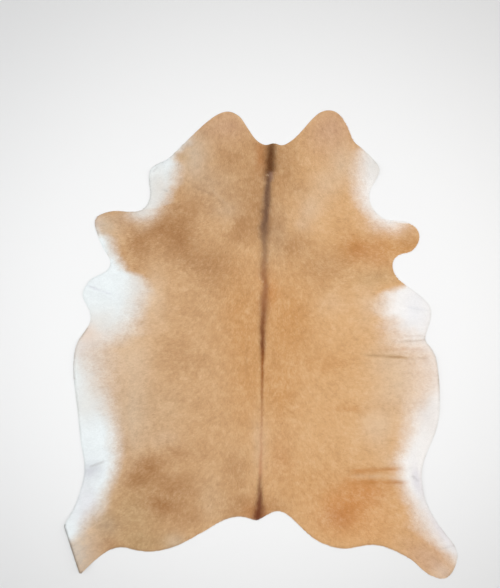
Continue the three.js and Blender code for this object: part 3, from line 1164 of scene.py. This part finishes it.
@dataclass(frozen=True)
class GrainedFinish:
    """A finish with the shared fine grain.

    Attributes:
        name: The material's name.
        colour: A fixed colour, or None to read the coat's colour from the mesh.
        grain_scale: Grains to a metre, roughly.
        depth: How much the grain lightens and darkens the colour.
        bump: Height of the grain in metres.
        specular: The shader's specular level.
        sheen: The shader's sheen weight.
    """

    name: str
    colour: Tone | None
    grain_scale: float
    depth: float
    bump: float
    specular: float
    sheen: float

    def material(self, grain: bpy.types.ShaderNodeTree) -> bpy.types.Material:
        """Makes the material.

        Args:
            grain: The shared grain effect.

        Returns:
            The new material.
        """
        material, tree, shader = new_material(self.name)
        effect = tree.nodes.new("ShaderNodeGroup")
        effect.node_tree = grain
        effect.inputs["Grain Scale"].default_value = self.grain_scale
        effect.inputs["Depth"].default_value = self.depth
        if self.colour is None:
            stored = tree.nodes.new("ShaderNodeAttribute")
            stored.attribute_name = COAT_COLOUR
            tree.links.new(stored.outputs["Color"], effect.inputs["Colour"])
        else:
            effect.inputs["Colour"].default_value = (*self.colour.linear, 1)
        tree.links.new(effect.outputs["Colour"], shader.inputs["Base Color"])
        tree.links.new(effect.outputs["Roughness"], shader.inputs["Roughness"])
        bump = tree.nodes.new("ShaderNodeBump")
        bump.inputs["Distance"].default_value = self.bump
        tree.links.new(effect.outputs["Height"], bump.inputs["Height"])
        tree.links.new(bump.outputs["Normal"], shader.inputs["Normal"])
        shader.inputs["Specular IOR Level"].default_value = self.specular
        shader.inputs["Sheen Weight"].default_value = self.sheen
        return material


HAIR_FINISH = GrainedFinish("hair", None, 900.0, 0.30, 0.0002, 0.10, 0.0)
HAIR_BED_FINISH = GrainedFinish("hair bed", None, 420.0, 0.40, 0.0010, 0.10, 0.0)
CUT_EDGE_FINISH = GrainedFinish("cut edge", None, 260.0, 0.30, 0.0006, 0.10, 0.0)
FLESH_SIDE_FINISH = GrainedFinish("flesh side", Tone.FLESH, 180.0, 0.35, 0.0008, 0.15, 0.10)


def mesh_object(
    name: str, vertices: np.ndarray, faces: list[tuple[int, ...]] | np.ndarray
) -> bpy.types.Object:
    """Makes an object of a new mesh.

    Args:
        name: The object's name.
        vertices: Rows of x, y and z.
        faces: Vertex numbers of each face.

    Returns:
        The new object, in the scene.
    """
    mesh = bpy.data.meshes.new(name)
    mesh.from_pydata(vertices.tolist(), [], [tuple(f) for f in faces])
    mesh.update()
    piece = bpy.data.objects.new(name, mesh)
    bpy.context.scene.collection.objects.link(piece)
    return piece


def store_colours(piece: bpy.types.Object, colours: np.ndarray) -> None:
    """Keeps linear red, green and blue for each vertex on a mesh, for its material to read."""
    stored = piece.data.attributes.new(COAT_COLOUR, "FLOAT_VECTOR", "POINT")
    stored.data.foreach_set("vector", colours.astype(np.float32).ravel())


def map_from_above(piece: bpy.types.Object) -> None:
    """Gives a mesh a texture map laid out as it is seen from above.

    Args:
        piece: The object.
    """
    mesh = piece.data
    flat = vertex_places(mesh)[:, :2]
    low, high = flat.min(axis=0), flat.max(axis=0)
    corner = np.empty(len(mesh.loops), dtype=int)
    mesh.loops.foreach_get("vertex_index", corner)
    spots = ((flat - low) / (high - low))[corner]
    mesh.uv_layers.new(name=BAKE_MAP).uv.foreach_set("vector", spots.astype(np.float32).ravel())


@dataclass
class Skin:
    """The tanned skin: hair bed above, cut edge all round and flesh side below.

    Attributes:
        form: Outline and folds.
        pattern: Colours of the hair bed.
        flow: The way the hair lies.
        pitch: Distance between two points of the sheet.
        thickness: Thickness of the bare skin.
        bed: Height of the hair bed over the floor, away from the edge.
        bevel: How far the upper side stands back from the cut edge.
        bed_run: Distance from the edge over which the hair bed rises.
        rim_gap: Least distance of inner points from the rim, as a share of the pitch.
        joining: How close two points of the upper side are joined into one.
    """

    form: HideForm
    pattern: CoatPattern
    flow: HairFlow
    pitch: float = 0.012
    thickness: float = 0.0022
    bed: float = 0.0032
    bevel: float = 0.0015
    bed_run: float = 0.014
    rim_gap: float = 0.45
    joining: float = 1e-7

    def bed_height(self, points: np.ndarray) -> np.ndarray:
        """Height of the hair bed over the floor.

        Args:
            points: Rows of across and along.

        Returns:
            One height for each point.
        """
        rise = smoothstep(0.0, self.bed_run, self.form.depth(points))
        thick = self.thickness + (self.bed - self.thickness) * rise
        return self.form.lift(points) + thick + rise * self.form.unevenness(points)

    def sheet_points(self, rim: np.ndarray) -> np.ndarray:
        """Points inside the rim in staggered rows.

        Args:
            rim: The outer points of the upper side.

        Returns:
            The rim's points, then the inner ones, as rows of across and along.
        """
        low, high = rim.min(axis=0), rim.max(axis=0)
        row_pitch = self.pitch * math.sqrt(3) / 2
        rows = np.arange(low[1], high[1], row_pitch)
        columns = np.arange(low[0], high[0], self.pitch)
        across, along = np.meshgrid(columns, rows)
        across = across + (np.arange(len(rows)) % 2 * self.pitch / 2)[:, None]
        inner = np.column_stack([across.ravel(), along.ravel()])
        return np.vstack([rim, inner[self.form.depth(inner) > self.bevel + self.rim_gap * self.pitch]])

    def upper_side(self, rim: np.ndarray) -> tuple[np.ndarray, np.ndarray]:
        """Spans the upper side with triangles.

        Args:
            rim: Its outer points.

        Returns:
            Its points as rows of across and along, the rim's first, and the corners of its triangles.
        """
        count = len(rim)
        points = [Vector(point) for point in self.sheet_points(rim)]
        inside_only = 1
        laid = delaunay_2d_cdt(points, [], [list(range(count))], inside_only, self.joining, False)
        flat = np.array([tuple(point) for point in laid[0]])
        triangles = np.array(laid[2])
        # Triangles that join three points of the rim against its order span a hollow of the edge.
        a, b, c = triangles.T
        hollow = (triangles < count).all(axis=1) & ((b - a) % count > (c - a) % count)
        return flat, triangles[~hollow]

    def build(self, grain: bpy.types.ShaderNodeTree) -> bpy.types.Object:
        """Makes the sheet and dresses it.

        Args:
            grain: The shared grain effect.

        Returns:
            The skin as one closed mesh.
        """
        form = self.form
        rim = form.outline - self.bevel * form.outward
        flat, upper = self.upper_side(rim)
        count, total = len(rim), len(flat)
        top = np.column_stack([flat, self.bed_height(flat)])
        under = np.column_stack([flat, form.lift(flat)])
        middle = np.column_stack([form.outline, form.lift(form.outline) + self.thickness / 2])
        ring = np.arange(count)
        after = np.roll(ring, -1)
        edge, edge_after = ring + 2 * total, after + 2 * total
        faces = [tuple(corners) for corners in upper]
        faces += [tuple(corners[::-1]) for corners in upper + total]
        faces += list(zip(edge, edge_after, after, ring))
        faces += list(zip(ring + total, after + total, edge_after, edge))
        piece = mesh_object("skin", np.vstack([top, under, middle]), faces)
        mesh = piece.data
        for finish in (HAIR_BED_FINISH, FLESH_SIDE_FINISH, CUT_EDGE_FINISH):
            mesh.materials.append(finish.material(grain))
        coverage = np.repeat(range(len(mesh.materials)), [len(upper), len(upper), 2 * count])
        mesh.polygons.foreach_set("material_index", coverage.astype(np.int32))
        mesh.shade_smooth()
        rng = np.random.default_rng(BED_SEED)
        hair = self.pattern.colour(flat, self.flow.vectors(flat), rng)
        store_colours(piece, np.vstack([hair, hair, hair[:count]]))
        return piece


@dataclass
class HairCoat:
    """The coat of flat-lying hair, as many small locks.

    Attributes:
        form: Outline and folds.
        skin: What the hair grows on.
        pattern: Hair colours.
        flow: The way the hair lies.
        root_pitch: Distance between two roots.
        length: Usual length of a lock.
        length_range: Least and greatest length, as shares of the usual one.
        shortest: Least share of its length that a lock keeps at the cut edge.
        half_width: Half the usual width of a lock.
        width_range: Least and greatest width, as shares of the usual one.
        belly: Share of a lock's length at which it is widest.
        ridge: How much a lock's middle stands over its sides.
        tip_rise: Least and greatest height of a tip over its root.
        stray: How far single locks turn from the flow, in degrees.
        overhang: How far hair reaches past the cut edge.
        root_margin: Least distance from a root to the cut edge.
        sink: How far roots are sunk into the hair bed.
        root_shade: Brightness of a lock at its root.
        tip_shade: Brightness of a lock at its tip.
        brightest: Greatest red, green or blue of any hair.
    """

    form: HideForm
    skin: Skin
    pattern: CoatPattern
    flow: HairFlow
    root_pitch: float = 0.00275
    length: float = 0.0120
    length_range: tuple[float, float] = (0.7, 1.25)
    shortest: float = 0.25
    half_width: float = 0.0011
    width_range: tuple[float, float] = (0.7, 1.35)
    belly: float = 0.42
    ridge: float = 0.0005
    tip_rise: tuple[float, float] = (0.0006, 0.0024)
    stray: float = 10.0
    overhang: float = 0.0025
    root_margin: float = 0.0015
    sink: float = 0.0004
    root_shade: float = 0.86
    tip_shade: float = 1.06
    brightest: float = 0.95

    def roots(self, rng: np.random.Generator) -> np.ndarray:
        """Places the roots of all locks, evenly but without rows.

        Args:
            rng: Draws each root's shift.

        Returns:
            Rows of across and along.
        """
        low, high = self.form.outline.min(axis=0), self.form.outline.max(axis=0)
        across = np.arange(low[0], high[0], self.root_pitch)
        along = np.arange(low[1], high[1], self.root_pitch)
        grid = np.stack(np.meshgrid(across, along), axis=-1).reshape(-1, 2)
        grid += rng.uniform(-0.5, 0.5, grid.shape) * self.root_pitch
        return grid[self.form.depth(grid) > self.root_margin]

    def locks(self, roots: np.ndarray, rng: np.random.Generator) -> tuple[np.ndarray, np.ndarray]:
        """Shapes the locks that grow from roots.

        Args:
            roots: Rows of across and along.
            rng: Draws how single locks differ.

        Returns:
            Four corners of each lock (root, one side, tip, other side) and unit vectors along the locks.
        """
        count = len(roots)
        angle = self.flow.angle(roots) + np.radians(self.stray) * rng.standard_normal(count)
        way = unit_vectors(angle)
        side = np.column_stack([-way[:, 1], way[:, 0]])
        length = self.length * rng.uniform(*self.length_range, count)
        past = -self.overhang - self.form.depth(roots + length[:, None] * way)
        length = np.where(past > 0, np.maximum(length - past, self.shortest * length), length)
        width = self.half_width * rng.uniform(*self.width_range, count)
        tips = roots + length[:, None] * way
        bellies = roots + self.belly * length[:, None] * way
        root_height = self.skin.bed_height(roots) - self.sink
        tip_height = self.skin.bed_height(tips) + rng.uniform(*self.tip_rise, count)
        belly_height = (1 - self.belly) * root_height + self.belly * tip_height - self.ridge
        corners = np.stack(
            [
                np.column_stack([roots, root_height]),
                np.column_stack([bellies - width[:, None] * side, belly_height]),
                np.column_stack([tips, tip_height]),
                np.column_stack([bellies + width[:, None] * side, belly_height]),
            ],
            axis=1,
        )
        return corners, way

    def build(self, zone: CoatZone, roots: np.ndarray, material: bpy.types.Material) -> bpy.types.Object:
        """Makes one zone of the coat.

        Args:
            zone: Which stretch of the hide.
            roots: Roots of all locks of the coat.
            material: The hair's material.

        Returns:
            The zone's locks as one mesh.
        """
        rng = np.random.default_rng(ZONE_SEED + list(CoatZone).index(zone))
        low, high = zone.value
        roots = roots[(roots[:, 1] > low) & (roots[:, 1] <= high)]
        corners, way = self.locks(roots, rng)
        vertices = corners.reshape(-1, 3)
        first = 4 * np.arange(len(roots))[:, None]
        faces = np.concatenate([first + (0, 1, 2), first + (0, 2, 3)])
        piece = mesh_object(f"hair_{zone.name.lower()}", vertices, faces)
        shades = np.array([self.root_shade, 1, self.tip_shade, 1])
        colours = self.pattern.colour(roots, way, rng)
        colours = (colours[:, None, :] * shades[:, None]).reshape(-1, 3)
        # Thin darker lines along the cut edge, partly painted shade.
        colours = self.pattern.with_edge_shade(colours, vertices[:, :2])
        store_colours(piece, np.clip(colours, 0, self.brightest))
        map_from_above(piece)
        piece.data.materials.append(material)
        return piece


@dataclass(frozen=True)
class ShadedFloor:
    """A pale floor with painted shade: it dulls softly away from the hide, darker towards the corners of
    the view.

    Attributes:
        greys: Its grey round the hide, and farther off where painted shade dulls it.
        middle: The middle of its bright part.
        fade: Distances from there between which it dulls.
        roughness: The shader's roughness.
        specular: The shader's specular level.
    """

    greys: tuple[float, float] = (0.81, 0.67)
    middle: tuple[float, float, float] = (0.0, 0.15, 0.0)
    fade: tuple[float, float] = (0.9, 2.3)
    roughness: float = 0.7
    specular: float = 0.2

    def material(self) -> bpy.types.Material:
        """Makes the material.

        Returns:
            The new material.
        """
        material, tree, shader = new_material("pale floor")
        place = tree.nodes.new("ShaderNodeNewGeometry")
        away = tree.nodes.new("ShaderNodeVectorMath")
        away.operation = "DISTANCE"
        away.inputs[1].default_value = self.middle
        tree.links.new(place.outputs["Position"], away.inputs[0])
        grey = mapped(tree, away.outputs["Value"], self.fade, self.greys, "SMOOTHSTEP")
        tree.links.new(grey, shader.inputs["Base Color"])
        shader.inputs["Roughness"].default_value = self.roughness
        shader.inputs["Specular IOR Level"].default_value = self.specular
        return material


@dataclass(frozen=True)
class Lamp:
    """A large soft lamp.

    Attributes:
        name: The lamp's name.
        place: Where it hangs.
        target: The point it is turned to.
        size: Its width and length.
        power: Its power in watts.
        colour: Red, green and blue of its light.
    """

    name: str
    place: tuple[float, float, float]
    target: tuple[float, float, float]
    size: tuple[float, float]
    power: float
    colour: tuple[float, float, float]

    def hang(self) -> None:
        """Puts the lamp into the scene."""
        light = bpy.data.lights.new(self.name, "AREA")
        light.shape = "RECTANGLE"
        light.size, light.size_y = self.size
        light.energy = self.power
        light.color = self.colour
        lamp = bpy.data.objects.new(self.name, light)
        lamp.location = self.place
        turned = (Vector(self.target) - Vector(self.place)).to_track_quat("-Z", "Y")
        lamp.rotation_euler = turned.to_euler()
        bpy.context.scene.collection.objects.link(lamp)


LAMPS = (
    Lamp("overhead", (0.0, 0.05, 4.2), (0.0, 0.05, 0.0), (2.6, 2.6), 114.0, (1.0, 1.0, 1.0)),
    Lamp("right fill", (4.2, 0.8, 2.2), (0.0, 0.0, 0.0), (2.5, 2.5), 40.0, (1.0, 0.965, 0.93)),
    Lamp("left fill", (-4.2, 0.4, 2.2), (0.0, 0.0, 0.0), (2.5, 2.5), 36.0, (0.92, 0.97, 1.0)),
)


@dataclass(frozen=True)
class Studio:
    """Floor, light and camera.

    Attributes:
        image_size: Width and height of the picture in pixels.
        pixel: What one pixel spans on the floor, in metres.
        middle: The hide's middle in the picture, in pixels from its upper left corner.
        lens: The camera's focal length in millimetres.
        sensor: The sensor's long side in millimetres.
        floor_reach: Distance from the hide's middle to where the floor starts to curve up.
        sweep: Radius of that curve, which ends in an upright wall.
        wall: Height of the wall over the curve.
        sweep_steps: Number of rings along that curve.
        sweep_sides: Number of points in a ring.
        shaded_floor: What the floor and the wall are painted with, painted shade included.
        sky_strength: Strength of the even light from all round.
    """

    image_size: tuple[int, int] = (500, 588)
    pixel: float = 0.0049
    middle: tuple[float, float] = (260.85, 344.3)
    lens: float = 50.0
    sensor: float = 36.0
    floor_reach: float = 8.0
    sweep: float = 5.0
    wall: float = 2.0
    sweep_steps: int = 12
    sweep_sides: int = 96
    shaded_floor: ShadedFloor = ShadedFloor()
    sky_strength: float = 0.51

    def lay_floor(self) -> None:
        """Lays a pale floor, with painted shade away from the hide, that curves up into a wall all
        round.
        """
        bend = np.linspace(0, math.pi / 2, self.sweep_steps)
        flat, far = self.floor_reach, self.floor_reach + self.sweep
        reach = np.concatenate([[flat / 2], flat + self.sweep * np.sin(bend), [far]])
        height = np.concatenate([[0], self.sweep * (1 - np.cos(bend)), [self.sweep + self.wall]])
        turn = np.linspace(0, 2 * math.pi, self.sweep_sides, endpoint=False)
        level = np.outer(height, np.ones_like(turn))
        rings = np.stack([np.outer(reach, np.cos(turn)), np.outer(reach, np.sin(turn)), level], axis=-1)
        ring = np.arange(self.sweep_sides)
        after = np.roll(ring, -1)
        faces = [tuple(ring)]
        for low in self.sweep_sides * np.arange(len(reach) - 1):
            high = low + self.sweep_sides
            faces += list(zip(ring + low, ring + high, after + high, after + low))
        floor = mesh_object("floor", rings.reshape(-1, 3), faces)
        floor.data.shade_smooth()
        floor.data.materials.append(self.shaded_floor.material())

    def light(self) -> None:
        """Hangs the lamps and sets the even light."""
        for lamp in LAMPS:
            lamp.hang()
        world = bpy.data.worlds.new("studio")
        world.use_nodes = True
        sky = world.node_tree.nodes["Background"]
        sky.inputs["Color"].default_value = (1, 1, 1, 1)
        sky.inputs["Strength"].default_value = self.sky_strength
        bpy.context.scene.world = world
        bpy.context.scene.view_settings.view_transform = "Standard"

    def place_camera(self) -> None:
        """Hangs the camera straight over the picture's middle, the neck at the top."""
        width, height = self.image_size
        across = (width / 2 - self.middle[0]) * self.pixel
        along = (self.middle[1] - height / 2) * self.pixel
        camera = bpy.data.cameras.new("camera")
        camera.lens = self.lens
        camera.sensor_width = self.sensor
        seen = bpy.data.objects.new("camera", camera)
        seen.location = (across, along, height * self.pixel * self.lens / self.sensor)
        bpy.context.scene.collection.objects.link(seen)
        bpy.context.scene.camera = seen


def main() -> None:
    """Builds the hide, then the studio round it."""
    logging.basicConfig(level=logging.INFO, format="%(name)s: %(message)s")
    form = HideForm(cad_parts[NODE])
    pattern = CoatPattern(form)
    flow = HairFlow()
    grain = grain_group()
    skin = Skin(form, pattern, flow)
    sheet = skin.build(grain)
    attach(sheet, BODY)
    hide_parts(NODE)
    log.info("%s: %d faces", sheet.name, len(sheet.data.polygons))
    coat = HairCoat(form, skin, pattern, flow)
    roots = coat.roots(np.random.default_rng(ROOT_SEED))
    hair = HAIR_FINISH.material(grain)
    for zone in CoatZone:
        piece = coat.build(zone, roots, hair)
        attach(piece, BODY)
        log.info("%s: %d faces", piece.name, len(piece.data.polygons))
    studio = Studio()
    studio.lay_floor()
    studio.light()
    studio.place_camera()


if __name__ == "__main__":
    main()
